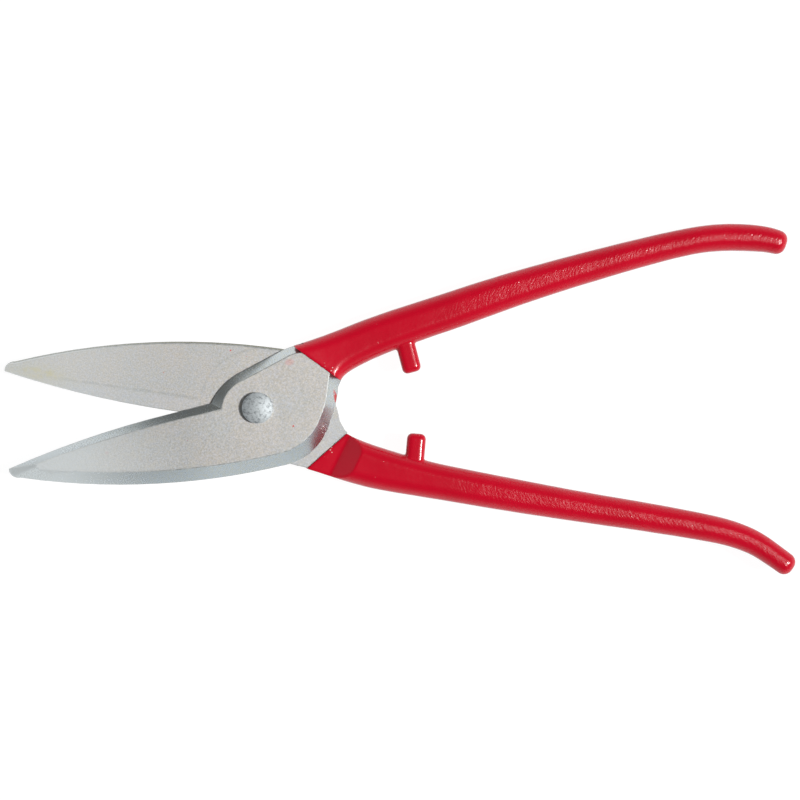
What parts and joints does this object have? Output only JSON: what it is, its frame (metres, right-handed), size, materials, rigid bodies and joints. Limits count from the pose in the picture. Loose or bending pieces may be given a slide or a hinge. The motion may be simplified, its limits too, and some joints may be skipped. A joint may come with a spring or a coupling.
{
  "type": "straight-pattern tin snips",
  "caption": "Forged straight-pattern tin snips: lapped bevelled blades on a bolted pivot, long curved handles with stop lugs and a dipped red coat.",
  "frame": {"origin": "centre of the pivot bolt's back end face, on the pivot axis", "axes": "+X along the centreline between the handles, away from the blades; +Z along the pivot axis, from the nut towards the bolt head; +Y completes the right-handed frame, towards the front half's handle"},
  "size_m": [0.2916, 0.1305, 0.0235],
  "materials": {
    "forged_steel": "fine-blasted forged steel, satin, with smoother ground bevels",
    "red_coat": "glossy dipped plastisol with a slightly wrinkled skin",
    "bolt_steel": "turned and tumbled bright steel",
    "plated_steel": "zinc-plated steel"
  },
  "bodies": {
    "front": {"front_half": "forged_steel", "front_grip": "red_coat", "pivot_bolt": "bolt_steel", "pivot_washer": "plated_steel", "spring_washer": "plated_steel", "pivot_nut": "plated_steel"},
    "rear": {"rear_half": "forged_steel", "rear_grip": "red_coat"}
  },
  "joints": [
    {"name": "pivot", "type": "hinge", "parent": "front", "child": "rear", "pos_m": [0, 0, 0.01445], "axis": [0, 0, 1], "range_deg": [-52, 21.6]}
  ]
}
